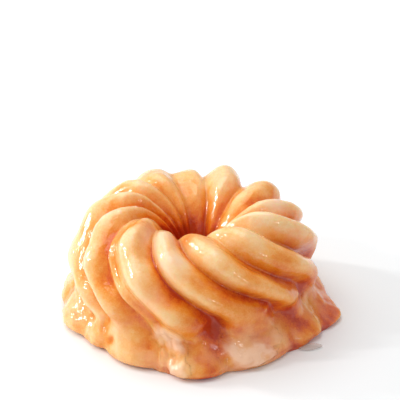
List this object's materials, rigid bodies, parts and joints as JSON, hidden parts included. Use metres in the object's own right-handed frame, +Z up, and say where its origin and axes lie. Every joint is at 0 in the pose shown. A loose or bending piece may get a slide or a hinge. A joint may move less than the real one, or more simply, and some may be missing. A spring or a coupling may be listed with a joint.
{
  "type": "cruller",
  "caption": "Honey cruller: a glazed ring of choux dough with rounded ridges that spiral from the hole over the crown to a lumpy, flat-bottomed skirt.",
  "frame": {"origin": "middle of the bounding box's footprint, on the surface that the cruller stands on", "axes": "+Z up through the hole; -Y towards the side that the picture shows; +X to its right"},
  "size_m": [0.0886, 0.0856, 0.0387],
  "materials": {
    "dough": "golden brown fried choux dough under a thin, clear honey glaze"
  },
  "bodies": {
    "root": {"cruller": "dough"}
  },
  "joints": []
}
